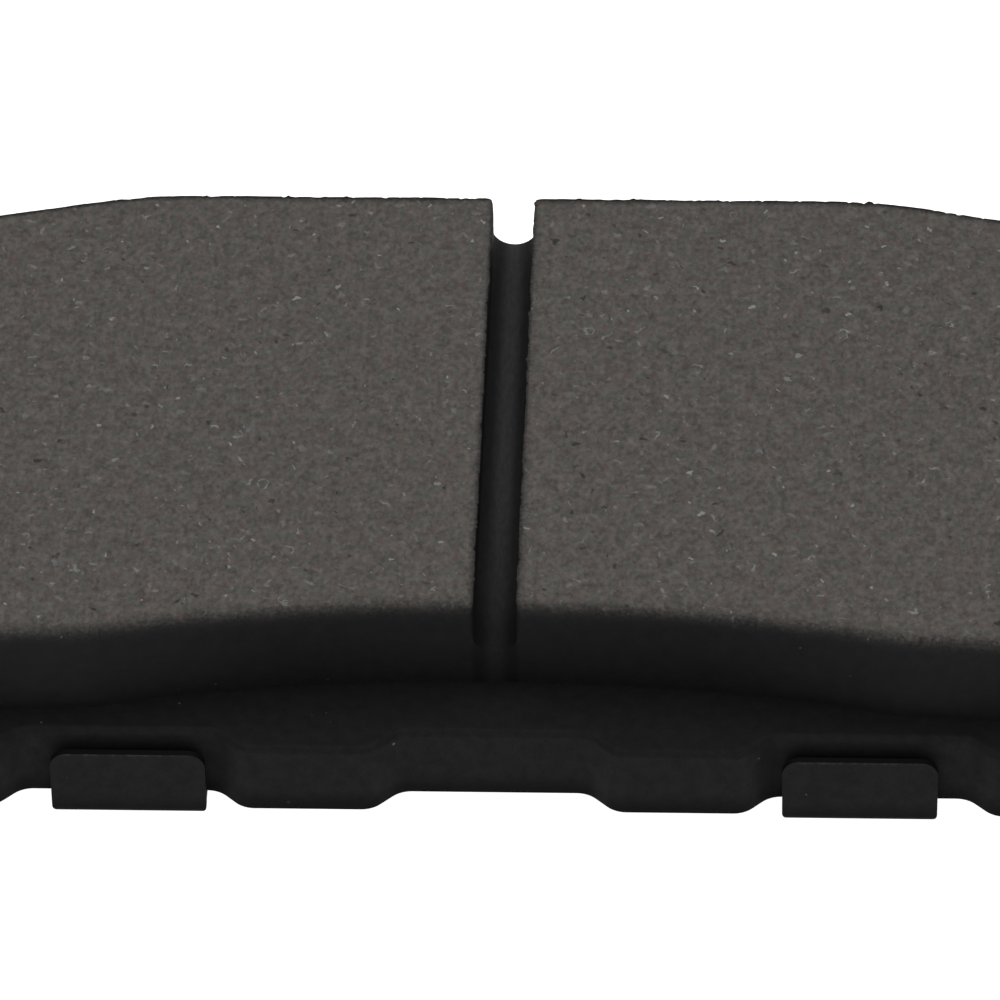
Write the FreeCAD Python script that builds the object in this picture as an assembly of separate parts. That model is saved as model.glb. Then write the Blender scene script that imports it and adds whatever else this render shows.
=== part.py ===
import FreeCAD, Part
import math
import os

from FreeCAD import Vector

# A disc brake pad for a sliding caliper: a stamped steel backing plate with a moulded
# friction lining on its front, anti-squeal shims clipped to its back and a riveted
# wear indicator at one end. Every length is in millimetres.
#
# X runs along the pad, Y outward from the rotor's axis and Z toward the rotor. The
# origin is where the caliper piston's axis meets the back face of the outer shim.

# ---- driving dimensions ---------------------------------------------------------

PLATE_THICKNESS = 6.5
LINING_THICKNESS = 8.5
LINING_HEIGHT = 52.6
LINING_HALF_LENGTH = 57.5
SLOT_WIDTH = 3.5
SLOT_DEPTH = 5.05
OUTER_SHIM_THICKNESS = 0.6
INNER_SHIM_THICKNESS = 0.9
PAD_HALF_LENGTH = 71.5

# ---- heights of the layers, from the back face ------------------------------------

INNER_SHIM_BACK = OUTER_SHIM_THICKNESS
SHIM_RUBBER_THICKNESS = 0.15
SHIM_CORE_BACK = INNER_SHIM_BACK + SHIM_RUBBER_THICKNESS
SHIM_CORE_THICKNESS = INNER_SHIM_THICKNESS - 2 * SHIM_RUBBER_THICKNESS
SHIM_CORE_FRONT = SHIM_CORE_BACK + SHIM_CORE_THICKNESS
PLATE_BACK = OUTER_SHIM_THICKNESS + INNER_SHIM_THICKNESS
PLATE_FRONT = PLATE_BACK + PLATE_THICKNESS
BOND_THICKNESS = 0.2
UNDERLAYER_BACK = PLATE_FRONT + BOND_THICKNESS
ROTOR_FACE = PLATE_FRONT + LINING_THICKNESS
SLOT_FLOOR = ROTOR_FACE - SLOT_DEPTH
SLOT_FLOOR_RISE = 1.05
BLOCK_BACK = SLOT_FLOOR + SLOT_FLOOR_RISE

# ---- friction lining, seen along Z ------------------------------------------------

LINING_INNER_Y = -LINING_HEIGHT / 2
LINING_OUTER_Y = LINING_HEIGHT / 2
INNER_ARC_RADIUS = 157.0
INNER_ARC_HALF_LENGTH = 33.0
INNER_END_DROP = 1.45
OUTER_FLAT_HALF_LENGTH = 30.9
OUTER_SLOPE = math.radians(13.0)
OUTER_BEND_RADIUS = 35.0
LINING_OUTER_HALF_LENGTH = 54.0
LINING_END_RADIUS = 4.0
END_CHAMFER_LENGTH = 8.0
END_CHAMFER_DEPTH = 3.6

# ---- plugs of lining that fill the plate's holes ----------------------------------

PLUG_RADIUS = 4.5
PLUG_PLACES = [(-42.0, -14.0), (42.0, -14.0), (-22.0, 14.0), (22.0, 14.0)]
PLUG_SINK = 0.5

# ---- backing plate, seen along Z ---------------------------------------------------

LOBE_Y = LINING_INNER_Y - 8.3
RECESS_Y = LINING_INNER_Y - 6.05
TAB_NOTCH_Y = LINING_INNER_Y - 6.2
RECESS_HALF_LENGTH = 8.74
TAB_NOTCH_INNER_X = 21.4
TAB_NOTCH_OUTER_X = 39.5
FLANK_RADIUS = 2.2
PLATE_OUTER_LEDGE = 3.0
PLATE_OUTER_Y = LINING_OUTER_Y + PLATE_OUTER_LEDGE
PLATE_OUTER_BEND_RADIUS = OUTER_BEND_RADIUS + PLATE_OUTER_LEDGE
OUTER_NOTCH_INNER_X = 9.5
OUTER_NOTCH_OUTER_X = 25.0
OUTER_NOTCH_DEPTH = 1.3
OUTER_NOTCH_RADIUS = 1.2
BODY_HALF_LENGTH = 63.0
BODY_FOOT_RADIUS = 5.0
EAR_BOTTOM_Y = -11.0
EAR_TOP_Y = 6.0
EAR_RADIUS = 1.5
SHOULDER_Y = 15.0
SHOULDER_X = 58.5
SHOULDER_RADIUS = 4.0
DIE_ROLL_RADIUS = 0.6

# ---- pips half sheared out of the plate's back, which locate both shims -------------

PIP_RADIUS = 3.0
PIP_HEIGHT = 1.2
PIP_PLACES = [(-46.0, 6.0), (46.0, 6.0)]
PIP_HOLE_RADIUS = 3.4

# ---- shims -------------------------------------------------------------------------

SHIM_BOTTOM_Y = -29.8
SHIM_TOP_Y = 25.4
SHIM_HALF_LENGTH = 55.0
SHIM_TOP_HALF_LENGTH = 42.0
SHIM_SIDE_Y = 12.0
SHIM_CORNER_RADIUS = 4.0
INNER_SHIM_INSET = 0.8
TAB_WIDTH = 12.6
TAB_TOP = PLATE_BACK + 4.97
TAB_CORNER_RADIUS = 1.4
TAB_FOOT_RADIUS = 0.9
TAB_GAP = 0.7
TAB_BEND_RADIUS = 0.1
INNER_TAB_X = 29.7
OUTER_TAB_X = (OUTER_NOTCH_INNER_X + OUTER_NOTCH_OUTER_X) / 2
WINDOW_X = 24.0
WINDOW_Y = -8.0
WINDOW_LENGTH = 20.0
WINDOW_RADIUS = 3.0

# ---- wear indicator ------------------------------------------------------------------

INDICATOR_X = 59.2
INDICATOR_WIDTH = 6.0
INDICATOR_THICKNESS = 0.8
INDICATOR_FOOT_Y = -3.5
INDICATOR_FOOT_END_Y = 5.6
INDICATOR_TIP_Y = 8.6
INDICATOR_END_Y = 12.6
INDICATOR_RISE = 2.4
INDICATOR_BEND_RADIUS = 0.9
RIVET_Y = 0.6
RIVET_RADIUS = 1.7
RIVET_HEAD_RADIUS = 2.8
RIVET_HEAD_HEIGHT = 1.3
RIVET_TAIL_HEIGHT = 0.9

OVERCUT = 5.0


def mirrored(corners):
    """The full outline of a shape that is symmetric about X = 0, from its right half."""
    left = [(-x, y, radius) for x, y, radius in reversed(corners)]
    return corners + left


def rounded_wire(corners, place):
    """A closed wire through (a, b, radius) corners, each rounded by a tangent arc.

    place turns two coordinates into a Vector, so it sets the plane of the wire.
    """
    starts = []
    middles = []
    ends = []
    count = len(corners)
    for index, (a, b, radius) in enumerate(corners):
        before = corners[index - 1]
        after = corners[(index + 1) % count]
        here = Vector(a, b, 0)
        inward = (Vector(before[0], before[1], 0) - here).normalize()
        onward = (Vector(after[0], after[1], 0) - here).normalize()
        half_angle = inward.getAngle(onward) / 2
        setback = radius / math.tan(half_angle)
        bisector = (inward + onward).normalize()
        reach = radius / math.sin(half_angle) - radius
        starts.append(here + inward * setback)
        middles.append(here + bisector * reach)
        ends.append(here + onward * setback)
    edges = []
    for index in range(count):
        start = place(starts[index].x, starts[index].y)
        end = place(ends[index].x, ends[index].y)
        if corners[index][2] > 0:
            middle = place(middles[index].x, middles[index].y)
            edges.append(Part.Arc(start, middle, end).toShape())
        following = starts[(index + 1) % count]
        edges.append(Part.LineSegment(end, place(following.x, following.y)).toShape())
    return Part.Wire(edges)


def plan_prism(corners, bottom, top):
    """A solid with a rounded outline in plan, between two heights."""
    wire = rounded_wire(corners, lambda x, y: Vector(x, y, bottom))
    return Part.Face(wire).extrude(Vector(0, 0, top - bottom))


def strip(path, thickness, bend_radius, left, width):
    """A folded metal strip: its back face follows path in the YZ plane.

    The strip lies to the left of the path, and bend_radius is the inside radius.
    """
    back = []
    front = []
    for index, (y, z) in enumerate(path):
        here = Vector(y, z, 0)
        before = Vector(*path[max(index - 1, 0)], 0)
        after = Vector(*path[min(index + 1, len(path) - 1)], 0)
        if index == 0:
            before = here * 2 - after
        if index == len(path) - 1:
            after = here * 2 - before
        arriving = (here - before).normalize()
        leaving = (after - here).normalize()
        turn = math.atan2(arriving.x * leaving.y - arriving.y * leaving.x, arriving.dot(leaving))
        normal = Vector(-arriving.y - leaving.y, arriving.x + leaving.x, 0).normalize()
        offset = here + normal * (thickness / math.cos(turn / 2))
        inside = 0 if turn == 0 else bend_radius
        outside = 0 if turn == 0 else bend_radius + thickness
        back.append((here.x, here.y, outside if turn > 0 else inside))
        front.append((offset.x, offset.y, inside if turn > 0 else outside))
    outline = back + front[::-1]
    wire = rounded_wire(outline, lambda y, z: Vector(left, y, z))
    return Part.Face(wire).extrude(Vector(width, 0, 0))


def cylinder(place, radius, bottom, top):
    """An upright cylinder at a place in plan, between two heights."""
    return Part.makeCylinder(radius, top - bottom, Vector(place[0], place[1], bottom))


def flank(radius, x_middle, y_from, y_to):
    """The two corners of a 45 degree flank whose middle is at x_middle."""
    half_run = abs(y_to - y_from) / 2
    return [(x_middle - half_run, y_from, radius), (x_middle + half_run, y_to, radius)]


def lining_prism(bottom, top):
    """The plan of the friction lining, without its slot, between two heights."""
    arc_drop = INNER_ARC_RADIUS - math.sqrt(INNER_ARC_RADIUS**2 - INNER_ARC_HALF_LENGTH**2)
    arc_end_y = LINING_INNER_Y - arc_drop
    slope_run = LINING_OUTER_HALF_LENGTH - OUTER_FLAT_HALF_LENGTH
    outer_end_y = LINING_OUTER_Y - slope_run * math.tan(OUTER_SLOPE)
    right = [
        (INNER_ARC_HALF_LENGTH, arc_end_y, 0),
        (LINING_HALF_LENGTH, arc_end_y - INNER_END_DROP, LINING_END_RADIUS),
        (LINING_OUTER_HALF_LENGTH, outer_end_y, LINING_END_RADIUS),
        (OUTER_FLAT_HALF_LENGTH, LINING_OUTER_Y, OUTER_BEND_RADIUS),
    ]
    blank = plan_prism(mirrored(right), bottom, top)
    arc_centre = (0, LINING_INNER_Y - INNER_ARC_RADIUS)
    return blank.cut(cylinder(arc_centre, INNER_ARC_RADIUS, bottom - OVERCUT, top + OVERCUT))


def slot_cutter():
    """The radial slot: straight sides and a rounded floor, along Y."""
    half = SLOT_WIDTH / 2
    near = LINING_INNER_Y - OVERCUT
    top = ROTOR_FACE + OVERCUT
    left = Vector(-half, near, BLOCK_BACK)
    right = Vector(half, near, BLOCK_BACK)
    arc = Part.Arc(left, Vector(0, near, SLOT_FLOOR), right).toShape()
    sides = Part.makePolygon([right, Vector(half, near, top), Vector(-half, near, top), left])
    wire = Part.Wire([arc, *sides.Edges])
    return Part.Face(wire).extrude(Vector(0, LINING_HEIGHT + 2 * OVERCUT, 0))


def end_chamfer_cutter():
    """A wedge that bevels the right end of the lining toward the rotor face."""
    arc_drop = INNER_ARC_RADIUS - math.sqrt(INNER_ARC_RADIUS**2 - INNER_ARC_HALF_LENGTH**2)
    foot = Vector(LINING_HALF_LENGTH, LINING_INNER_Y - arc_drop - INNER_END_DROP, 0)
    bevel = math.atan2(END_CHAMFER_DEPTH, END_CHAMFER_LENGTH)
    beyond = OVERCUT / math.tan(bevel)
    wedge = Part.makePolygon(
        [
            Vector(-END_CHAMFER_LENGTH - beyond, -OVERCUT, ROTOR_FACE + OVERCUT),
            Vector(beyond, -OVERCUT, ROTOR_FACE - END_CHAMFER_DEPTH - OVERCUT),
            Vector(beyond, -OVERCUT, ROTOR_FACE + OVERCUT),
            Vector(-END_CHAMFER_LENGTH - beyond, -OVERCUT, ROTOR_FACE + OVERCUT),
        ]
    )
    cutter = Part.Face(wedge).extrude(Vector(0, LINING_HEIGHT + 3 * OVERCUT, 0))
    lean = math.atan2(LINING_HALF_LENGTH - LINING_OUTER_HALF_LENGTH, LINING_HEIGHT)
    cutter.rotate(Vector(0, 0, 0), Vector(0, 0, 1), math.degrees(lean))
    cutter.translate(foot)
    return cutter


def mirrored_in_x(shape):
    return shape.mirror(Vector(0, 0, 0), Vector(1, 0, 0))


def friction_block(side):
    """One half of the wearing lining: side is 1 for the right half and -1 for the left."""
    lining = lining_prism(BLOCK_BACK, ROTOR_FACE).cut(slot_cutter())
    chamfer = end_chamfer_cutter()
    lining = lining.cut(chamfer).cut(mirrored_in_x(chamfer))
    halves = [solid for solid in lining.Solids if solid.CenterOfMass.x * side > 0]
    return halves[0]


def friction_underlayer():
    """The base of the lining: it carries the slot's floor and fills the plate's holes."""
    shape = lining_prism(UNDERLAYER_BACK, BLOCK_BACK)
    for place in PLUG_PLACES:
        shape = shape.fuse(cylinder(place, PLUG_RADIUS, PLATE_BACK + PLUG_SINK, UNDERLAYER_BACK))
    return shape.cut(slot_cutter()).removeSplitter()


def bonding_layer():
    """The adhesive film between the plate and the lining, open round each plug."""
    shape = lining_prism(PLATE_FRONT, UNDERLAYER_BACK)
    for place in PLUG_PLACES:
        shape = shape.cut(cylinder(place, PLUG_RADIUS, PLATE_BACK, ROTOR_FACE))
    return shape


def plate_outline():
    """The plate's right half: lobes and notches inside, an ear, a shoulder, the outer edge."""
    slope_run = SHOULDER_X - OUTER_FLAT_HALF_LENGTH
    shoulder_y = PLATE_OUTER_Y - slope_run * math.tan(OUTER_SLOPE)
    outer_notch_y = PLATE_OUTER_Y - OUTER_NOTCH_DEPTH
    outer_flank = flank(OUTER_NOTCH_RADIUS, OUTER_NOTCH_OUTER_X, outer_notch_y, PLATE_OUTER_Y)
    inner_flank = flank(OUTER_NOTCH_RADIUS, OUTER_NOTCH_INNER_X, PLATE_OUTER_Y, outer_notch_y)
    return [
        *flank(FLANK_RADIUS, RECESS_HALF_LENGTH, RECESS_Y, LOBE_Y),
        *flank(FLANK_RADIUS, TAB_NOTCH_INNER_X, LOBE_Y, TAB_NOTCH_Y),
        *flank(FLANK_RADIUS, TAB_NOTCH_OUTER_X, TAB_NOTCH_Y, LOBE_Y),
        (BODY_HALF_LENGTH, LOBE_Y, BODY_FOOT_RADIUS),
        (BODY_HALF_LENGTH, EAR_BOTTOM_Y, EAR_RADIUS),
        (PAD_HALF_LENGTH, EAR_BOTTOM_Y, EAR_RADIUS),
        (PAD_HALF_LENGTH, EAR_TOP_Y, EAR_RADIUS),
        (BODY_HALF_LENGTH, EAR_TOP_Y, EAR_RADIUS),
        (BODY_HALF_LENGTH, SHOULDER_Y, SHOULDER_RADIUS),
        (SHOULDER_X, shoulder_y, SHOULDER_RADIUS),
        (OUTER_FLAT_HALF_LENGTH, PLATE_OUTER_Y, PLATE_OUTER_BEND_RADIUS),
        *outer_flank[::-1],
        *inner_flank[::-1],
    ]


def backing_plate():
    """Stamped steel, with a die roll round its front edge and pips on its back."""
    plate = plan_prism(mirrored(plate_outline()), PLATE_BACK, PLATE_FRONT)
    front_edges = [
        edge
        for edge in plate.Edges
        if min(vertex.Z for vertex in edge.Vertexes) > PLATE_FRONT - 0.001
    ]
    plate = plate.makeFillet(DIE_ROLL_RADIUS, front_edges)
    for place in PLUG_PLACES:
        plate = plate.cut(cylinder(place, PLUG_RADIUS, PLATE_BACK - OVERCUT, PLATE_FRONT + OVERCUT))
    rivet_place = (INDICATOR_X, RIVET_Y)
    plate = plate.cut(cylinder(rivet_place, RIVET_RADIUS, PLATE_BACK - OVERCUT, PLATE_FRONT + OVERCUT))
    for place in PIP_PLACES:
        plate = plate.fuse(cylinder(place, PIP_RADIUS, PLATE_BACK - PIP_HEIGHT, PLATE_BACK))
    return plate.removeSplitter()


def shim_sheet(inset, bottom, top):
    """A flat sheet of the shims' outline, drawn in by inset, with holes for the pips."""
    side = SHIM_HALF_LENGTH - inset
    right = [
        (side, SHIM_BOTTOM_Y + inset, SHIM_CORNER_RADIUS),
        (side, SHIM_SIDE_Y, SHIM_CORNER_RADIUS),
        (SHIM_TOP_HALF_LENGTH, SHIM_TOP_Y - inset, SHIM_CORNER_RADIUS),
    ]
    sheet = plan_prism(mirrored(right), bottom, top)
    for place in PIP_PLACES:
        sheet = sheet.cut(cylinder(place, PIP_HOLE_RADIUS, bottom - OVERCUT, top + OVERCUT))
    return sheet


def tab(sheet_edge_y, plate_wall_y, x_middle):
    """One tab, folded up from the shim over the plate's edge."""
    outward = 1 if plate_wall_y > 0 else -1
    outer_face_y = abs(plate_wall_y) + TAB_GAP + OUTER_SHIM_THICKNESS
    path = [(abs(sheet_edge_y) - 1, 0), (outer_face_y, 0), (outer_face_y, TAB_TOP)]
    folded = strip(path, OUTER_SHIM_THICKNESS, TAB_BEND_RADIUS, -TAB_WIDTH / 2, TAB_WIDTH)
    half = TAB_WIDTH / 2
    face = [
        (-half, 0, TAB_FOOT_RADIUS),
        (half, 0, TAB_FOOT_RADIUS),
        (half, TAB_TOP, TAB_CORNER_RADIUS),
        (-half, TAB_TOP, TAB_CORNER_RADIUS),
    ]
    wire = rounded_wire(face, lambda x, z: Vector(x, 0, z))
    folded = folded.common(Part.Face(wire).extrude(Vector(0, outer_face_y + OVERCUT, 0)))
    if outward < 0:
        folded = folded.mirror(Vector(0, 0, 0), Vector(0, 1, 0))
    folded.translate(Vector(x_middle, 0, 0))
    return folded


def outer_shim():
    """The clip-on shim: a coated sheet with four tabs and two grease windows."""
    shape = shim_sheet(0, 0, OUTER_SHIM_THICKNESS)
    outer_wall_y = PLATE_OUTER_Y - OUTER_NOTCH_DEPTH
    for side in (-1, 1):
        shape = shape.fuse(tab(SHIM_BOTTOM_Y, TAB_NOTCH_Y, side * INNER_TAB_X))
        shape = shape.fuse(tab(SHIM_TOP_Y, outer_wall_y, side * OUTER_TAB_X))
        left = side * WINDOW_X - WINDOW_LENGTH / 2
        right = side * WINDOW_X + WINDOW_LENGTH / 2
        window = [
            (left, WINDOW_Y - WINDOW_RADIUS, WINDOW_RADIUS * 0.99),
            (right, WINDOW_Y - WINDOW_RADIUS, WINDOW_RADIUS * 0.99),
            (right, WINDOW_Y + WINDOW_RADIUS, WINDOW_RADIUS * 0.99),
            (left, WINDOW_Y + WINDOW_RADIUS, WINDOW_RADIUS * 0.99),
        ]
        shape = shape.cut(plan_prism(window, -OVERCUT, OVERCUT))
    return shape.removeSplitter()


def wear_indicator():
    """A spring-steel strip whose raised tip sounds on the rotor when the lining is thin."""
    back = PLATE_FRONT
    path = [
        (INDICATOR_FOOT_Y, back),
        (INDICATOR_FOOT_END_Y, back),
        (INDICATOR_TIP_Y, back + INDICATOR_RISE),
        (INDICATOR_END_Y, back + INDICATOR_RISE),
    ]
    left = INDICATOR_X - INDICATOR_WIDTH / 2
    shape = strip(path, INDICATOR_THICKNESS, INDICATOR_BEND_RADIUS, left, INDICATOR_WIDTH)
    return shape.cut(cylinder((INDICATOR_X, RIVET_Y), RIVET_RADIUS, back - OVERCUT, back + OVERCUT))


def cap_arc(rim_z, height):
    """The profile of a spherical rivet cap, from its rim to the axis.

    height is negative for a cap that bulges backward.
    """
    sphere_radius = (RIVET_HEAD_RADIUS**2 + height**2) / (2 * abs(height))
    half_sweep = math.asin(RIVET_HEAD_RADIUS / sphere_radius) / 2
    centre_z = rim_z + height - math.copysign(sphere_radius, height)
    middle_x = sphere_radius * math.sin(half_sweep)
    middle_z = centre_z + math.copysign(sphere_radius * math.cos(half_sweep), height)
    rim = Vector(RIVET_HEAD_RADIUS, 0, rim_z)
    return Part.Arc(rim, Vector(middle_x, 0, middle_z), Vector(0, 0, rim_z + height)).toShape()


def wear_indicator_rivet():
    """A rivet through the plate and the strip: a domed head in front, a low tail behind."""
    head_rim = PLATE_FRONT + INDICATOR_THICKNESS
    shank = Part.makePolygon(
        [
            Vector(RIVET_HEAD_RADIUS, 0, PLATE_BACK),
            Vector(RIVET_RADIUS, 0, PLATE_BACK),
            Vector(RIVET_RADIUS, 0, head_rim),
            Vector(RIVET_HEAD_RADIUS, 0, head_rim),
        ]
    )
    head_top = Vector(0, 0, head_rim + RIVET_HEAD_HEIGHT)
    tail_bottom = Vector(0, 0, PLATE_BACK - RIVET_TAIL_HEIGHT)
    axis = Part.LineSegment(head_top, tail_bottom).toShape()
    head = cap_arc(head_rim, RIVET_HEAD_HEIGHT)
    tail = cap_arc(PLATE_BACK, -RIVET_TAIL_HEIGHT)
    profile = Part.Wire(Part.__sortEdges__([tail, *shank.Edges, head, axis]))
    rivet = Part.Face(profile).revolve(Vector(0, 0, 0), Vector(0, 0, 1), 360)
    rivet.translate(Vector(INDICATOR_X, RIVET_Y, 0))
    return rivet


def parts():
    """Every node of the pad, by name."""
    return {
        "backing_plate": backing_plate(),
        "bonding_layer": bonding_layer(),
        "friction_underlayer": friction_underlayer(),
        "friction_block_left": friction_block(-1),
        "friction_block_right": friction_block(1),
        "inner_shim_rubber_back": shim_sheet(INNER_SHIM_INSET, INNER_SHIM_BACK, SHIM_CORE_BACK),
        "inner_shim_core": shim_sheet(INNER_SHIM_INSET, SHIM_CORE_BACK, SHIM_CORE_FRONT),
        "inner_shim_rubber_front": shim_sheet(INNER_SHIM_INSET, SHIM_CORE_FRONT, PLATE_BACK),
        "outer_shim": outer_shim(),
        "wear_indicator": wear_indicator(),
        "wear_indicator_rivet": wear_indicator_rivet(),
    }


def main():
    os.makedirs("parts", exist_ok=True)
    for name, shape in parts().items():
        box = shape.BoundBox
        print(
            f"{name}: valid {shape.isValid()}, solids {len(shape.Solids)}, "
            f"volume {shape.Volume:.1f} mm3, size {box.XLength:.2f} x {box.YLength:.2f} x {box.ZLength:.2f}"
        )
        shape.exportStep(f"parts/{name}.step")


main()
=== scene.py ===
import math

import bmesh
import bpy
import numpy as np
from mathutils import Matrix, Vector, noise
from mathutils.bvhtree import BVHTree
from mathutils.geometry import delaunay_2d_cdt


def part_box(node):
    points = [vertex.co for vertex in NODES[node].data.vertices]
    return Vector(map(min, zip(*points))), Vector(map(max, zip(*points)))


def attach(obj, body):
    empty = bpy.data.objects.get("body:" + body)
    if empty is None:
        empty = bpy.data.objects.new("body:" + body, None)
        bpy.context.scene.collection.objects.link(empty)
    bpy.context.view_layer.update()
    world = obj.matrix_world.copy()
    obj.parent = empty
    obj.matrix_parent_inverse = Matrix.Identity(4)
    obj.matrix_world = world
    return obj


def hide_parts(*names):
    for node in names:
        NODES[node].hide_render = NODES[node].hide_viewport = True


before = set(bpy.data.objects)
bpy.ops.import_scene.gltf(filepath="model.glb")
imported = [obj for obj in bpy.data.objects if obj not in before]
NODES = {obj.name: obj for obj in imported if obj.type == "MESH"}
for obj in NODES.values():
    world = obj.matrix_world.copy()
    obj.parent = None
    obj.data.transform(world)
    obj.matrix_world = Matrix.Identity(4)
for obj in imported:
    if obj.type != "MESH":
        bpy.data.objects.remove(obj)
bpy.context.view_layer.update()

# The looks of the brake pad. Pieces are built in millimetres and scaled to metres at
# the end, and shaders work in millimetres too, through scaled object coordinates.

MM = 0.001

# ---- places read from the frame, in millimetres ------------------------------------------

BLOCK_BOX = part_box("friction_block_left")
BLOCK_BACK = BLOCK_BOX[0].z / MM
ROTOR_FACE = BLOCK_BOX[1].z / MM
SLOT_HALF_WIDTH = -BLOCK_BOX[1].x / MM
SLOT_MOUTH_Y = -BLOCK_BOX[1].y / MM  # the slot runs as far inward from the origin as outward
PLATE_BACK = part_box("inner_shim_rubber_front")[1].z / MM
TAB_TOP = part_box("outer_shim")[1].z / MM

# ---- camera ------------------------------------------------------------------------------

CAMERA_PLACE = Vector((24.733, -587.345, 507.244)) * MM
CAMERA_PITCH = math.radians(40.5)
CAMERA_YAW = math.radians(2.4615)
CAMERA_ROLL = math.radians(-1.0106)
SENSOR_WIDTH = 36.0
LENS = 332.22

# ---- stage, in metres and watts ----------------------------------------------------------

FLOOR_HALF_SIZE = 3.0
FLOOR_GAP = 0.1 * MM
OVERHEAD_POWER = 13.6
FRONT_POWER = 3.2
SURROUND_STRENGTH = 0.34
WHITE = (1.0, 1.0, 1.0, 1.0)

# ---- meshes of the lining blocks, in millimetres -----------------------------------------

SECTION_LIFT = 0.02
OUTLINE_STEP = 0.2
CORNER_SMOOTHING = 9
WALL_RINGS = 12
EDGE_ROUNDING = 0.08
EDGE_STEPS = 3
FACE_RING_INSETS = (0.17, 0.32)
FACE_GRID = 0.4
GRID_STAGGER = 0.3
GRID_JITTER = 0.12
DEEPEST_CHIP = 0.16
TALLEST_BURR = 0.12
FACE_SINK = 0.01
FACE_RELIEF = 0.02

# The black coating feathers over the blocks' edges. A spray is its reach from the edge in
# millimetres, and it covers a share of the face there, with a soft or a crisp end.
NEAR_SPRAY = 0.6
FAR_SPRAY = 0.48
SLOT_SPRAY = 0.26
DRIFT_SPRAY = 0.28
LOW_SIDE_SPRAY = 0.42
LOW_SIDE_LENGTH = 12.0
NEAR_SHARE = 0.55
FAR_SHARE = 0.97
NEAR_CRISPNESS = 1.4
FAR_CRISPNESS = 3.0

# ---- looks -------------------------------------------------------------------------------

NOISE_SPAN = (0.3, 0.7)
PLATE_COAT_BASE = 0.0094
SHIM_COAT_BASE = 0.0086
WALL_COAT_BASE = 0.0072
WALL_COAT_SPECULAR = 0.1
DUST = 0.1
# Painted shade near the foot fades out over this height, in millimetres.
FOOT_SHADE_HEIGHT = 2.4
RIM_REACH = (0.3, 0.05)
FOLD_HEIGHT = 0.5
PLATE_EDGE = 0.12
SHIM_EDGE = 0.08
INDICATOR_EDGE = 0.1
NO_EDGE = 0


def grey(value, warmth=0.0):
    """A linear grey, warmer above zero and cooler below it."""
    return (value * (1 + warmth), value, value * (1 - warmth), 1.0)


# The lining's grain is longer along Y than along X.
LINING_GRAIN = (1.0, 1.42, 1.0)

# Soft tinted patches in the lining: place, noise scale, strength and colour.
PATCHES = (
    (9.0, 1.5, 0.45, (0.098, 0.066, 0.06, 1.0)),
    (14.0, 1.3, 0.45, (0.066, 0.08, 0.064, 1.0)),
    (23.0, 0.9, 0.25, (0.06, 0.057, 0.052, 1.0)),
)

# Pores, as dark specks of painted shade, and pale flecks: place, cells per millimetre, share of
# cells, size, strength and colour.
FLECKS = (
    (0.0, 0.75, 0.22, 0.22, 0.75, grey(0.02, 0.05)),
    (5.0, 0.7, 0.22, 0.26, 0.35, grey(0.2, -0.02)),
    (8.0, 0.6, 0.4, 0.13, 0.7, grey(0.27)),
    (11.0, 1.3, 0.25, 0.24, 0.3, grey(0.2, -0.02)),
)
FIBRE_TURNS = (0.5, 1.2, 2.1, 2.8)
FIBRE_LENGTHS = (2.5, 0.8, 1.0)


def camera():
    """The photographer's long lens: pitched down, turned and rolled a little."""
    data = bpy.data.cameras.new("camera")
    data.sensor_width = SENSOR_WIDTH
    data.lens = LENS
    data.clip_start = 0.01
    data.clip_end = 50.0
    turn = Matrix.Rotation(CAMERA_YAW, 3, "Z")
    forward = turn @ Vector((0, math.cos(CAMERA_PITCH), -math.sin(CAMERA_PITCH)))
    right = turn @ Vector((1, 0, 0))
    up = turn @ Vector((0, math.sin(CAMERA_PITCH), math.cos(CAMERA_PITCH)))
    rolled_right = math.cos(CAMERA_ROLL) * right + math.sin(CAMERA_ROLL) * up
    rolled_up = -math.sin(CAMERA_ROLL) * right + math.cos(CAMERA_ROLL) * up
    rotation = Matrix((rolled_right, rolled_up, -forward)).transposed()
    thing = bpy.data.objects.new("camera", data)
    thing.matrix_world = Matrix.Translation(CAMERA_PLACE) @ rotation.to_4x4()
    bpy.context.scene.collection.objects.link(thing)
    bpy.context.scene.camera = thing


# ---- shader helpers ----------------------------------------------------------------------


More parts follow.
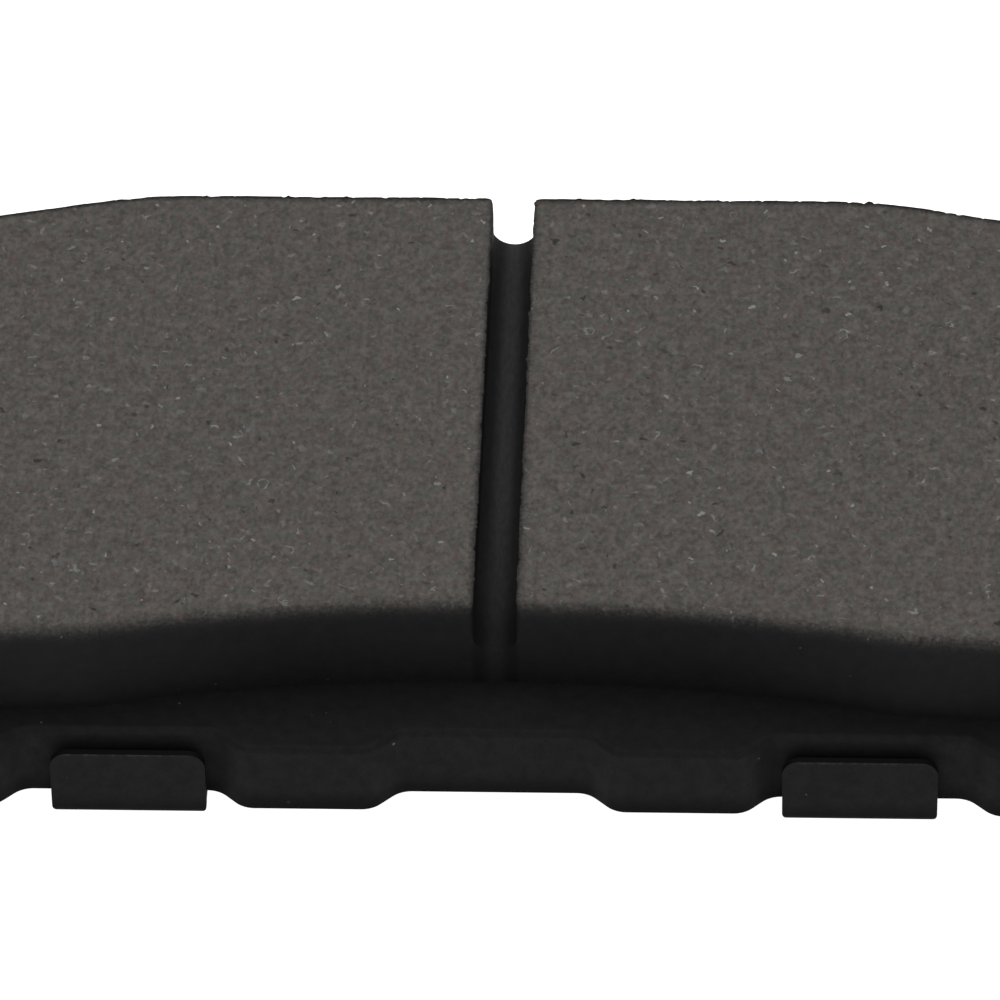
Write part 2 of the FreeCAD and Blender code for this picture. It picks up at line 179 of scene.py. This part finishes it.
class Shader:
    """A node material, with short calls for the nodes that this scene uses."""

    def __init__(self, name):
        self.material = bpy.data.materials.new(name)
        self.material.use_nodes = True
        self.tree = self.material.node_tree
        self.surface = self.tree.nodes["Principled BSDF"]
        place = self.tree.nodes.new("ShaderNodeTexCoord")
        self.place = self.scaled(place.outputs["Object"], 1 / MM)

    def feed(self, socket, value):
        """Links a socket to another node's output, or sets it to a plain value."""
        if isinstance(value, bpy.types.NodeSocket):
            self.tree.links.new(value, socket)
        else:
            socket.default_value = value

    def scaled(self, vector, factor):
        node = self.tree.nodes.new("ShaderNodeVectorMath")
        node.operation = "SCALE"
        self.feed(node.inputs["Vector"], vector)
        node.inputs["Scale"].default_value = factor
        return node.outputs["Vector"]

    def vector_math(self, operation, a, b):
        node = self.tree.nodes.new("ShaderNodeVectorMath")
        node.operation = operation
        self.feed(node.inputs[0], a)
        self.feed(node.inputs[1], b)
        return node.outputs["Vector"]

    def math(self, operation, *values, clamp=False):
        node = self.tree.nodes.new("ShaderNodeMath")
        node.operation = operation
        node.use_clamp = clamp
        for socket, value in zip(node.inputs, values):
            self.feed(socket, value)
        return node.outputs["Value"]

    def product(self, first, *others):
        for other in others:
            first = self.math("MULTIPLY", first, other)
        return first

    def stretched(self, lengths, turn=0.0, shift=(0.0, 0.0, 0.0), place=None):
        """Coordinates whose unit is lengths millimetres along each axis, after a turn about Z."""
        node = self.tree.nodes.new("ShaderNodeMapping")
        node.vector_type = "TEXTURE"
        self.feed(node.inputs["Vector"], place or self.place)
        node.inputs["Location"].default_value = shift
        node.inputs["Rotation"].default_value = (0, 0, turn)
        node.inputs["Scale"].default_value = lengths
        return node.outputs["Vector"]

    def warped(self, scale, reach):
        """Coordinates pushed about by noise, so that shapes drawn in them come out bent."""
        node = self.tree.nodes.new("ShaderNodeTexNoise")
        self.feed(node.inputs["Vector"], self.place)
        node.inputs["Scale"].default_value = scale
        push = self.vector_math("SUBTRACT", node.outputs["Color"], (0.5, 0.5, 0.5))
        return self.vector_math("ADD", self.place, self.scaled(push, 2 * reach))

    def axis(self, name):
        """One coordinate in millimetres: X, Y or Z."""
        node = self.tree.nodes.new("ShaderNodeSeparateXYZ")
        self.feed(node.inputs["Vector"], self.place)
        return node.outputs[name]

    def facing(self, name):
        """One component of the surface's own direction."""
        direction = self.tree.nodes.new("ShaderNodeTexCoord").outputs["Normal"]
        node = self.tree.nodes.new("ShaderNodeSeparateXYZ")
        self.feed(node.inputs["Vector"], direction)
        return node.outputs[name]

    def noise(self, scale, detail=2.0, roughness=0.5, place=None):
        node = self.tree.nodes.new("ShaderNodeTexNoise")
        self.feed(node.inputs["Vector"], place or self.place)
        node.inputs["Scale"].default_value = scale
        node.inputs["Detail"].default_value = detail
        node.inputs["Roughness"].default_value = roughness
        return node.outputs["Fac"]

    def cells(self, scale, place=None, flat=False):
        """Voronoi cells: the distance to each cell's point, and three random numbers per cell.

        Flat cells are prisms along Z, so a level face cuts every one of them.
        """
        node = self.tree.nodes.new("ShaderNodeTexVoronoi")
        node.voronoi_dimensions = "2D" if flat else "3D"
        self.feed(node.inputs["Vector"], place or self.place)
        node.inputs["Scale"].default_value = scale
        draws = self.tree.nodes.new("ShaderNodeSeparateColor")
        self.feed(draws.inputs["Color"], node.outputs["Color"])
        return node.outputs["Distance"], draws.outputs

    def band(self, value, low, high, to_low=0.0, to_high=1.0):
        """value mapped smoothly from low..high to to_low..to_high, and held outside."""
        node = self.tree.nodes.new("ShaderNodeMapRange")
        node.interpolation_type = "SMOOTHSTEP"
        self.feed(node.inputs["Value"], value)
        node.inputs["From Min"].default_value = low
        node.inputs["From Max"].default_value = high
        node.inputs["To Min"].default_value = to_low
        node.inputs["To Max"].default_value = to_high
        return node.outputs["Result"]

    def mix(self, factor, a, b):
        """The colour a, turning to b as factor goes from 0 to 1."""
        node = self.tree.nodes.new("ShaderNodeMix")
        node.data_type = "RGBA"
        self.feed(node.inputs["Factor"], factor)
        self.feed(node.inputs["A"], a)
        self.feed(node.inputs["B"], b)
        return node.outputs["Result"]

    def mix_normals(self, factor, a, b):
        """The normal a, turning to b; the Mix node's vector sockets share their names."""
        node = self.tree.nodes.new("ShaderNodeMix")
        node.data_type = "VECTOR"
        vector_a, vector_b, vector_result = node.inputs[4], node.inputs[5], node.outputs[1]
        self.feed(node.inputs["Factor"], factor)
        self.feed(vector_a, a)
        self.feed(vector_b, b)
        return vector_result

    def specks(self, scale, share, size, place=None, flat=False):
        """Sparse round specks: a share of the cells carry one, size across in cell widths."""
        distance, draws = self.cells(scale, place, flat)
        chosen = self.math("GREATER_THAN", draws["Red"], 1 - share)
        own_size = self.math("MULTIPLY_ADD", draws["Green"], 0.7, 0.3)
        edge = self.math("MULTIPLY", own_size, size)
        depth = self.math("SUBTRACT", edge, distance)
        spot = self.band(depth, 0.0, size * 0.5)
        bright = self.band(draws["Blue"], 0.0, 1.0, 0.35, 1.0)
        return self.product(chosen, spot, bright)

    def curls(self, scale, share, size, place):
        """Sparse curled fibres: broken thin rings in a share of the flat cells."""
        distance, draws = self.cells(scale, place, True)
        chosen = self.math("GREATER_THAN", draws["Red"], 1 - share)
        radius = self.band(draws["Green"], 0.0, 1.0, size * 0.6, size)
        off_ring = self.math("ABSOLUTE", self.math("SUBTRACT", distance, radius))
        ring = self.band(off_ring, 0.055, 0.0)
        broken = self.band(self.noise(1.3, detail=1.0, place=place), 0.46, 0.54)
        return self.product(chosen, ring, broken)

    def attribute(self, name):
        """A number that the mesh carries at each of its points."""
        node = self.tree.nodes.new("ShaderNodeAttribute")
        node.attribute_name = name
        return node.outputs["Fac"]

    def bump(self, height, depth, normal=None):
        """A bump whose height runs over depth, in millimetres."""
        node = self.tree.nodes.new("ShaderNodeBump")
        self.feed(node.inputs["Height"], height)
        node.inputs["Distance"].default_value = depth * MM
        node.inputs["Strength"].default_value = 1.0
        if normal is not None:
            self.feed(node.inputs["Normal"], normal)
        return node.outputs["Normal"]

    def finish(self, colour, roughness, normal=None, specular=0.5, metallic=0.0):
        """The finished material; specular and metallic are plain numbers."""
        self.feed(self.surface.inputs["Base Color"], colour)
        self.feed(self.surface.inputs["Roughness"], roughness)
        self.surface.inputs["Specular IOR Level"].default_value = specular
        self.surface.inputs["Metallic"].default_value = metallic
        if normal is not None:
            self.feed(self.surface.inputs["Normal"], normal)
        return self.material


# ---- materials ---------------------------------------------------------------------------


def coat_layers(shader, base):
    """Sprayed black coating with settled dust: its colour, its shade and its grain."""
    mottle = shader.noise(0.9, detail=4.0, roughness=0.6)
    grain = shader.noise(7.0, detail=3.0, roughness=0.6)
    shade = shader.math("MULTIPLY_ADD", grain, 0.5, shader.math("MULTIPLY", mottle, 0.5))
    dark = grey(base * 0.78, -0.02)
    light = grey(base * 1.25, -0.02)
    colour = shader.mix(shader.band(shade, *NOISE_SPAN), dark, light)
    dust = shader.specks(0.55, 0.5, 0.1)
    return shader.mix(dust, colour, grey(DUST)), shade, grain


def coating_material(name, base, roughness, specular, relief, foot, sheared_top=None):
    """Black coating over steel: fine orange peel, faint mottling, a few specks of dust.

    Painted shade darkens the coat near foot, the height of the lowest edge, in place of the
    shade near the floor, and fades upward from there. sheared_top is the height of folded tabs,
    whose sheared rims carry painted shade, with pale burr specks and a painted highlight on top.
    """
    shader = Shader(name)
    colour, shade, grain = coat_layers(shader, base)
    height = shader.axis("Z")
    # Painted shade: the coat darkens towards the foot, in place of the shade near the floor.
    foot_shade = shader.band(height, foot + FOOT_SHADE_HEIGHT, foot, 0.0, 0.9)
    colour = shader.mix(foot_shade, colour, grey(base * 0.25))
    if sheared_top is not None:
        rim_low, rim_high = (sheared_top - reach for reach in RIM_REACH)
        # Pale burr specks along the tabs' top edge, with a painted highlight there.
        near_rim = shader.band(height, rim_low, rim_high)
        burrs_and_highlight = shader.band(shader.noise(1.8, detail=4.0, roughness=0.7), 0.42, 0.72, 0.1, 1.0)
        colour = shader.mix(shader.product(near_rim, burrs_and_highlight), colour, grey(0.03))
        # Painted shade: the tabs' sheared rims, which face up, are darkened to read as the
        # shadowed gap.
        facing_y = shader.math("ABSOLUTE", shader.facing("Y"))
        folded = shader.band(height, PLATE_BACK, PLATE_BACK + FOLD_HEIGHT)
        cut = shader.product(shader.band(facing_y, 0.5, 0.2), folded)
        colour = shader.mix(cut, colour, grey(0.0042))
    gloss = shader.band(shade, *NOISE_SPAN, roughness + 0.06, roughness - 0.06)
    return shader.finish(colour, gloss, shader.bump(grain, relief), specular)


def wall_coat(shader):
    """The coat on the lining's walls: its colour and its lumpy normal.

    Painted light pales it in the slot, in streaks, most as a painted highlight along the middle
    of the slot's floor and away from the near mouth. Below the blocks painted shade darkens it
    beside that middle, at the mouth.
    """
    colour, _, grain = coat_layers(shader, WALL_COAT_BASE)
    across = shader.math("ABSOLUTE", shader.axis("X"))
    along = shader.axis("Y")
    streak_place = shader.stretched((0.35, 1.1, 0.5))
    streaks = shader.noise(1.0, detail=3.0, roughness=0.6, place=streak_place)
    streaked_light = shader.band(streaks, *NOISE_SPAN, 0.6, 1.0)
    in_slot = shader.band(across, SLOT_HALF_WIDTH + 0.3, SLOT_HALF_WIDTH - 0.1)

    # Painted shade: darker in the slot's mouth below the blocks, where the slot's shadow falls.
    at_mouth = shader.band(along, SLOT_MOUTH_Y + 12.0, SLOT_MOUTH_Y)
    below_blocks = shader.band(shader.axis("Z"), BLOCK_BACK + 0.1, BLOCK_BACK - 0.1)
    colour = shader.mix(shader.product(in_slot, at_mouth, below_blocks), colour, grey(0.0036))

    # Painted light: paler in streaks within the slot, rising away from the mouth.
    past_mouth = shader.band(along, SLOT_MOUTH_Y, SLOT_MOUTH_Y + 9.0, 0.1, 1.0)
    colour = shader.mix(shader.product(in_slot, past_mouth, streaked_light), colour, grey(0.0165))

    # Painted highlight: paler still along the middle of the slot's floor, brightest away from the
    # near mouth.
    middle = shader.band(across, SLOT_HALF_WIDTH * 0.68, SLOT_HALF_WIDTH * 0.1)
    outward = shader.band(along, SLOT_MOUTH_Y - 1.0, SLOT_MOUTH_Y + 22.0, 0.17, 1.0)
    colour = shader.mix(shader.product(middle, outward, streaked_light), colour, grey(0.039))

    lumps = shader.noise(1.6, detail=4.0, roughness=0.65)
    return colour, shader.bump(lumps, 0.07, shader.bump(grain, 0.015))


def ground_face(shader):
    """The ground composite: its colour, with fibres, flecks and pores, the pores as dark specks
    of painted shade, and its normal.
    """
    place = shader.stretched(LINING_GRAIN)
    fine = shader.noise(2.3, detail=2.0, roughness=0.6, place=place)
    broad = shader.noise(0.85, detail=2.0, roughness=0.6, place=place)
    tone = shader.math("MULTIPLY_ADD", fine, 0.6, shader.math("MULTIPLY", broad, 0.4))
    colour = shader.mix(shader.band(tone, 0.3, 0.72), grey(0.05, 0.085), grey(0.108, 0.08))
    for seed, scale, strength, tint in PATCHES:
        moved = shader.stretched(LINING_GRAIN, 0, (seed, 4, 2))
        patches = shader.noise(scale, detail=2.0, roughness=0.5, place=moved)
        colour = shader.mix(shader.band(patches, 0.52, 0.7, 0.0, strength), colour, tint)
    bent = shader.warped(1.1, 0.7)
    for seed, scale, share, size, strength, tint in FLECKS:
        moved = shader.stretched(LINING_GRAIN, 0.5, (seed, 8, 1), bent)
        spots = shader.specks(scale, share, size, moved, True)
        colour = shader.mix(shader.product(spots, strength), colour, tint)
    for index, turn in enumerate(FIBRE_TURNS):
        moved = shader.stretched(FIBRE_LENGTHS, turn, (7.0 * index, 3.0, 0.0), bent)
        fibres = shader.specks(1.0, 0.05, 0.24, moved, True)
        colour = shader.mix(shader.product(fibres, 0.5), colour, grey(0.24))
    moved = shader.stretched(LINING_GRAIN, 0, (2, 6, 0), bent)
    curls = shader.curls(0.42, 0.035, 0.17, moved)
    colour = shader.mix(shader.product(curls, 0.5), colour, grey(0.25))
    return colour, shader.bump(tone, 0.05)


def lining_material():
    """Ground composite on top and coating on the walls, with a ragged line between them.

    The coat attribute is the share of the surface that black coating covers.
    """
    shader = Shader("lining_composite")
    face_colour, face_normal = ground_face(shader)
    wall_colour, wall_normal = wall_coat(shader)
    cover = shader.attribute("coat")
    ragged = shader.noise(3.2, detail=3.0, roughness=0.7)
    spread = shader.product(cover, shader.math("SUBTRACT", 1.0, cover))
    shift = shader.product(spread, 5.0, shader.math("SUBTRACT", ragged, 0.5))
    coat = shader.math("ADD", cover, shift, clamp=True)
    colour = shader.mix(coat, face_colour, wall_colour)
    roughness = shader.band(coat, 0.0, 1.0, 0.92, 0.75)
    normal = shader.mix_normals(coat, face_normal, wall_normal)
    return shader.finish(colour, roughness, normal, WALL_COAT_SPECULAR)


def wall_material():
    """The coated wall of the lining's base, and the floor of its slot."""
    shader = Shader("lining_base_coating")
    colour, normal = wall_coat(shader)
    return shader.finish(colour, 0.75, normal, WALL_COAT_SPECULAR)


def adhesive_material():
    """Cured adhesive, blackened by the same coating, but painted paler than the wall coat:
    painted light that lifts the shade in its recessed joint.
    """
    shader = Shader("bond_adhesive")
    lumps = shader.noise(2.5, detail=3.0, roughness=0.6)
    colour = shader.mix(shader.band(lumps, 0.35, 0.7), grey(0.009), grey(0.013))
    return shader.finish(colour, 0.8, shader.bump(lumps, 0.05), 0.08)


def rubber_material():
    """The shim's rubber skin: near black, with a fine leathery grain."""
    shader = Shader("shim_rubber_skin")
    grain = shader.noise(5.0, detail=4.0, roughness=0.6)
    smears = shader.noise(0.25, detail=3.0, roughness=0.6)
    colour = shader.mix(shader.band(smears, 0.35, 0.7), grey(0.012), grey(0.022))
    roughness = shader.band(smears, *NOISE_SPAN, 0.62, 0.8)
    return shader.finish(colour, roughness, shader.bump(grain, 0.03), 0.3)


def steel_material(name, tone, warmth, turn):
    """Bright rolled steel: long fine scratches one way, and dull stains."""
    shader = Shader(name)
    scratch_place = shader.stretched((4.0, 0.07, 0.07), turn)
    scratches = shader.noise(1.0, detail=4.0, roughness=0.7, place=scratch_place)
    stains = shader.noise(0.35, detail=4.0, roughness=0.65)
    clean = grey(tone, warmth)
    stained = grey(tone * 0.6, warmth * 2)
    colour = shader.mix(shader.band(stains, 0.35, 0.75), clean, stained)
    roughness = shader.band(scratches, *NOISE_SPAN, 0.26, 0.44)
    return shader.finish(colour, roughness, shader.bump(scratches, 0.008), 0.5, 1.0)


def floor_material():
    """A white photographic table, lit from below so that shadows on it vanish."""
    shader = Shader("light_table")
    fibres = shader.noise(0.8, detail=2.0)
    colour = shader.mix(fibres, grey(0.43), grey(0.45))
    shader.surface.inputs["Emission Color"].default_value = WHITE
    shader.surface.inputs["Emission Strength"].default_value = 1.0
    return shader.finish(colour, 0.9, None, 0.1)


# ---- outlines, in millimetres ------------------------------------------------------------


def section_outline(node, height):
    """The closed outline of a CAD node cut at a height, counter-clockwise, as plan points."""
    mesh = bmesh.new()
    mesh.from_mesh(node.data)
    bmesh.ops.scale(mesh, vec=Vector((1, 1, 1)) / MM, verts=mesh.verts)
    bmesh.ops.remove_doubles(mesh, verts=mesh.verts, dist=0.002)
    bmesh.ops.bisect_plane(
        mesh,
        geom=[*mesh.verts, *mesh.edges, *mesh.faces],
        plane_co=(0, 0, height),
        plane_no=(0, 0, 1),
        clear_inner=True,
        clear_outer=True,
    )
    bmesh.ops.remove_doubles(mesh, verts=mesh.verts, dist=0.002)
    start = next(iter(mesh.verts))
    loop = [start]
    edge = start.link_edges[0]
    while True:
        following = edge.other_vert(loop[-1])
        if following == start:
            break
        loop.append(following)
        edge = next(e for e in following.link_edges if e != edge)
    points = [vertex.co.xy.copy() for vertex in loop]
    mesh.free()
    area = sum(a.x * b.y - b.x * a.y for a, b in zip(points, points[1:] + points[:1]))
    return points if area > 0 else points[::-1]


def resampled(points, step):
    """A closed outline with even steps."""
    out = []
    for a, b in zip(points, points[1:] + points[:1]):
        count = max(1, math.ceil((b - a).length / step))
        out += [a.lerp(b, index / count) for index in range(count)]
    return out


def smoothed(points, rounds):
    """A closed outline whose corners are eased by repeated averaging."""
    out = points
    for _ in range(rounds):
        before = out[-1:] + out[:-1]
        after = out[1:] + out[:1]
        out = [0.25 * p + 0.5 * q + 0.25 * r for p, q, r in zip(before, out, after)]
    return out


def outline_normals(points):
    """The outward direction at each point of a counter-clockwise outline."""
    normals = []
    for before, after in zip(points[-1:] + points[:-1], points[1:] + points[:1]):
        along = (after - before).normalized()
        normals.append(Vector((along.y, -along.x)))
    return normals


def inside_outline(x, y, outline):
    """Whether a plan point is inside a closed outline, given as an array of points."""
    following = np.roll(outline, -1, axis=0)
    crosses = (outline[:, 1] > y) != (following[:, 1] > y)
    a = outline[crosses]
    b = following[crosses]
    at_x = a[:, 0] + (y - a[:, 1]) * (b[:, 0] - a[:, 0]) / (b[:, 1] - a[:, 1])
    return int((at_x > x).sum()) % 2 == 1


def nearest(x, y, outline):
    """The distance from a plan point to the nearest point of an outline, and its index."""
    squares = ((outline - (x, y)) ** 2).sum(axis=1)
    index = int(squares.argmin())
    return math.sqrt(squares[index]), index


# ---- wear and coating on the lining blocks, in millimetres -------------------------------


def roughness_at(place, size, seed):
    """Signed noise of about unit height whose lumps are size millimetres across."""
    return noise.fractal(Vector(place) / size + Vector((seed, seed, seed)), 0.8, 2.0, 3)


def chip_depth(place):
    """How far an edge is chipped back at a place: mostly nothing."""
    wear = roughness_at(place, 1.6, 31.0)
    bite = roughness_at(place, 0.5, 57.0)
    return min(DEEPEST_CHIP, max(0.0, wear - 0.3) * 0.14 + max(0.0, bite - 0.4) * 0.28)


def burr_height(place):
    """How far a bead of coating stands out from the wall's top: almost always nothing."""
    return min(TALLEST_BURR, max(0.0, roughness_at(place, 0.9, 12.0) - 0.5) * 0.5)


def lump_height(place):
    """How far the moulded wall stands out or in at a place."""
    return 0.08 * roughness_at(place, 3.6, 5.0) + 0.025 * roughness_at(place, 0.9, 21.0)


def spray(normal, y, low_y):
    """The coating that feathers over an edge there: its reach, share and crispness.

    It reaches furthest but thinnest on the wheel-centre side. On edges that face along X
    it reaches further towards the block's low end, at low_y.
    """
    facing = min(1.0, max(0.0, -normal.y * 1.6 - 0.2))
    sideways = SLOT_SPRAY if normal.x > 0 else DRIFT_SPRAY
    sideways += (LOW_SIDE_SPRAY - sideways) * math.exp(-(y - low_y) / LOW_SIDE_LENGTH)
    across = FAR_SPRAY + (sideways - FAR_SPRAY) * abs(normal.x)
    reach = across + (NEAR_SPRAY - across) * facing
    away = 0.5 + 0.5 * normal.y
    share = NEAR_SHARE + (FAR_SHARE - NEAR_SHARE) * away
    crispness = NEAR_CRISPNESS + (FAR_CRISPNESS - NEAR_CRISPNESS) * away
    return reach, share, crispness


def covered(distance, spray_there):
    """The share of the face that spray covers at a distance from the edge."""
    reach, share, crispness = spray_there
    return share * math.exp(-((max(distance, 0.0) / reach) ** crispness))


def bared(distance, spray_there):
    """The share of the wall that is ground bare at a distance below the edge."""
    reach, share, crispness = spray_there
    return (1 - share) * math.exp(-((max(distance, 0.0) / reach) ** crispness))


# ---- lining blocks -----------------------------------------------------------------------


class LiningBlock:
    """The mesh of one lining block, with chipped, rounded edges and an uneven ground face.

    Rings of points, one for each point of the outline, climb the wall and turn over the
    edge. A grid of points fills the last ring. Each point has a coat: the share of black
    coating on it.
    """

    def __init__(self, node):
        self.cad = BVHTree.FromPolygons(
            [vertex.co / MM for vertex in node.data.vertices],
            [polygon.vertices for polygon in node.data.polygons],
        )
        section = section_outline(node, BLOCK_BACK + SECTION_LIFT)
        self.low_y = min(point.y for point in section)
        self.high_y = max(point.y for point in section)
        self.sharp = resampled(section, OUTLINE_STEP)
        self.outline = smoothed(self.sharp, CORNER_SMOOTHING)
        self.normals = outline_normals(self.outline)
        self.count = len(self.outline)
        self.sprays = []
        self.tops = []
        for point, normal in zip(self.outline, self.normals):
            self.sprays.append(spray(normal, point.y, self.low_y))
            self.tops.append(self.face_height(point - normal * 0.06))
        self.points = []
        self.coats = []
        self.faces = []
        self.add_wall()
        self.add_edge()
        self.join_rings()
        self.add_face()
        self.faces.append(tuple(reversed(range(self.count))))

    def face_height(self, point):
        """The height of the CAD block's front at a plan point."""
        above = Vector((point.x, point.y, ROTOR_FACE + 1))
        hit = self.cad.ray_cast(above, Vector((0, 0, -1)))
        return hit[0].z if hit[0] else ROTOR_FACE

    def add_point(self, x, y, z, coat):
        self.points.append(Vector((x, y, z)))
        self.coats.append(coat)

    def add_wall(self):
        """Rings up the wall: sharp at its foot, eased and lumpy from a third of the way up."""
        for ring in range(WALL_RINGS):
            share = ring / WALL_RINGS
            eased = min(1.0, 3 * share)
            for corner, point, normal, top, here in zip(
                self.sharp, self.outline, self.normals, self.tops, self.sprays
            ):
                height = BLOCK_BACK + share * (top - EDGE_ROUNDING - BLOCK_BACK)
                lump = eased * lump_height((point.x, point.y, height))
                moved = corner.lerp(point, eased) + normal * lump
                self.add_point(moved.x, moved.y, height, 1 - bared(top - height, here))

    def add_edge(self):
        """Rings over the rounded edge and onto the face, where chips and burrs fade out."""
        insets = []
        for step in range(EDGE_STEPS + 1):
            angle = math.pi / 2 * step / EDGE_STEPS
            inset = EDGE_ROUNDING * (1 - math.cos(angle))
            drop = EDGE_ROUNDING * (1 - math.sin(angle))
            insets.append((inset, drop))
        insets += [(inset, 0.0) for inset in FACE_RING_INSETS]
        for inset, drop in insets:
            fade = 1 - inset / FACE_RING_INSETS[-1]
            for point, normal, top, here in zip(
                self.outline, self.normals, self.tops, self.sprays
            ):
                place = (point.x, point.y, top)
                chip = chip_depth(place) * fade**2
                burr = burr_height(place) * fade**2
                lump = fade * lump_height(place)
                moved = point - normal * (inset + chip - burr - lump)
                level = self.face_height(moved) if inset > EDGE_ROUNDING else top
                height = level - drop - chip * 0.8 + burr * 0.5
                self.add_point(moved.x, moved.y, height, covered(inset, here))

    def join_rings(self):
        """Four-sided faces between each ring and the one above it."""
        for start in range(0, len(self.points) - self.count, self.count):
            for index in range(self.count):
                here = start + index
                beside = start + (index + 1) % self.count
                self.faces.append((here, beside, beside + self.count, here + self.count))

    def grid_inside(self, rim):
        """Grid points inside the rim, staggered row by row and jittered by noise."""
        rim_array = np.array(rim)
        low_x = min(point.x for point in rim)
        high_x = max(point.x for point in rim)
        columns = int((high_x - low_x) / FACE_GRID)
        rows = int((self.high_y - self.low_y) / FACE_GRID)
        inner = []
        for column in range(1, columns):
            for row in range(1, rows):
                x = low_x + (column + GRID_STAGGER * (row % 2)) * FACE_GRID
                y = self.low_y + row * FACE_GRID
                x += GRID_JITTER * FACE_GRID * noise.noise(Vector((x * 3, y * 3, 1.0)))
                y += GRID_JITTER * FACE_GRID * noise.noise(Vector((x * 3, y * 3, 9.0)))
                if not inside_outline(x, y, rim_array):
                    continue
                if nearest(x, y, rim_array)[0] > 0.3 * FACE_GRID:
                    inner.append(Vector((x, y)))
        return inner

    def add_face(self):
        """The ground face: triangles over the last ring and the grid inside it."""
        rim_start = len(self.points) - self.count
        rim = [place.xy for place in self.points[rim_start:]]
        edges = [(index, (index + 1) % self.count) for index in range(self.count)]
        placed, _, triangles, origins, _, _ = delaunay_2d_cdt(
            rim + self.grid_inside(rim), edges, [], 1, 1e-5
        )
        outline_array = np.array(self.outline)
        final = []
        for place, origin in zip(placed, origins):
            on_rim = [index for index in origin if index < self.count]
            if on_rim:
                final.append(rim_start + on_rim[0])
                continue
            final.append(len(self.points))
            relief = FACE_RELIEF * roughness_at((place.x, place.y, 0.0), 1.4, 77.0)
            height = self.face_height(place) - FACE_SINK + relief
            distance, beside = nearest(place.x, place.y, outline_array)
            self.add_point(place.x, place.y, height, covered(distance, self.sprays[beside]))
        self.faces += [tuple(final[index] for index in triangle) for triangle in triangles]


def lining_block(node_name, piece_name, material):
    """The detailed piece that stands for one of the CAD's friction blocks."""
    block = LiningBlock(NODES[node_name])
    mesh = bpy.data.meshes.new(piece_name)
    mesh.from_pydata([point * MM for point in block.points], [], block.faces)
    mesh.update()
    coat = mesh.attributes.new("coat", "FLOAT", "POINT")
    coat.data.foreach_set("value", block.coats)
    mesh.polygons.foreach_set("use_smooth", [True] * len(mesh.polygons))
    mesh.set_sharp_from_angle(angle=math.radians(70))
    mesh.materials.append(material)
    piece = bpy.data.objects.new(piece_name, mesh)
    bpy.context.scene.collection.objects.link(piece)
    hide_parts(node_name)
    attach(piece, "root")


# ---- CAD nodes that stay -----------------------------------------------------------------


def dress(name, material, edge_width):
    """Gives a CAD node its final material and softly broken edges."""
    node = NODES[name]
    node.data.materials.clear()
    node.data.materials.append(material)
    if edge_width:
        bevel = node.modifiers.new("broken_edges", "BEVEL")
        bevel.width = edge_width * MM
        bevel.segments = 2
        bevel.limit_method = "ANGLE"
        bevel.angle_limit = math.radians(40)
        bevel.harden_normals = True


# ---- stage -------------------------------------------------------------------------------


def area_light(name, place, size, power):
    """A rectangular lamp aimed at the origin."""
    data = bpy.data.lights.new(name, "AREA")
    data.shape = "RECTANGLE"
    data.size = size[0]
    data.size_y = size[1]
    data.energy = power
    light = bpy.data.objects.new(name, data)
    light.location = place
    light.rotation_euler = (-Vector(place)).to_track_quat("-Z", "Y").to_euler()
    bpy.context.scene.collection.objects.link(light)


def stage():
    """A lit white table, a pale surround and two soft lights.

    The table lies a hair below the pad, so that their faces don't fight from below.
    """
    corners = [
        (x * FLOOR_HALF_SIZE, y * FLOOR_HALF_SIZE, -FLOOR_GAP)
        for x, y in ((-1, -1), (1, -1), (1, 1), (-1, 1))
    ]
    mesh = bpy.data.meshes.new("floor")
    mesh.from_pydata(corners, [], [(0, 1, 2, 3)])
    mesh.materials.append(floor_material())
    floor = bpy.data.objects.new("floor", mesh)
    bpy.context.scene.collection.objects.link(floor)
    world = bpy.data.worlds.new("surround")
    world.use_nodes = True
    surround = world.node_tree.nodes["Background"]
    surround.inputs["Color"].default_value = WHITE
    surround.inputs["Strength"].default_value = SURROUND_STRENGTH
    bpy.context.scene.world = world
    area_light("overhead", (0.0, 0.1, 1.3), (1.4, 1.4), OVERHEAD_POWER)
    area_light("front", (0.05, -1.2, 0.7), (0.9, 0.6), FRONT_POWER)
    bpy.context.scene.view_settings.view_transform = "Standard"


camera()
lining_looks = lining_material()
for side in ("left", "right"):
    lining_block(f"friction_block_{side}", f"lining_block_{side}", lining_looks)
plate_coating = coating_material(
    "plate_coating_black", PLATE_COAT_BASE, 0.62, 0.04, 0.012, PLATE_BACK
)
shim_coating = coating_material(
    "shim_coating_black", SHIM_COAT_BASE, 0.58, 0.045, 0.008, 0.0, TAB_TOP
)
dress("backing_plate", plate_coating, PLATE_EDGE)
dress("outer_shim", shim_coating, SHIM_EDGE)
dress("friction_underlayer", wall_material(), NO_EDGE)
dress("bonding_layer", adhesive_material(), NO_EDGE)
rubber = rubber_material()
dress("inner_shim_rubber_back", rubber, NO_EDGE)
dress("inner_shim_rubber_front", rubber, NO_EDGE)
dress("inner_shim_core", steel_material("shim_core_steel", 0.5, 0.0, 0.0), NO_EDGE)
indicator_steel = steel_material("indicator_spring_steel", 0.42, 0.03, math.pi / 2)
dress("wear_indicator", indicator_steel, INDICATOR_EDGE)
dress("wear_indicator_rivet", steel_material("rivet_steel", 0.5, 0.02, 0.0), NO_EDGE)
stage()
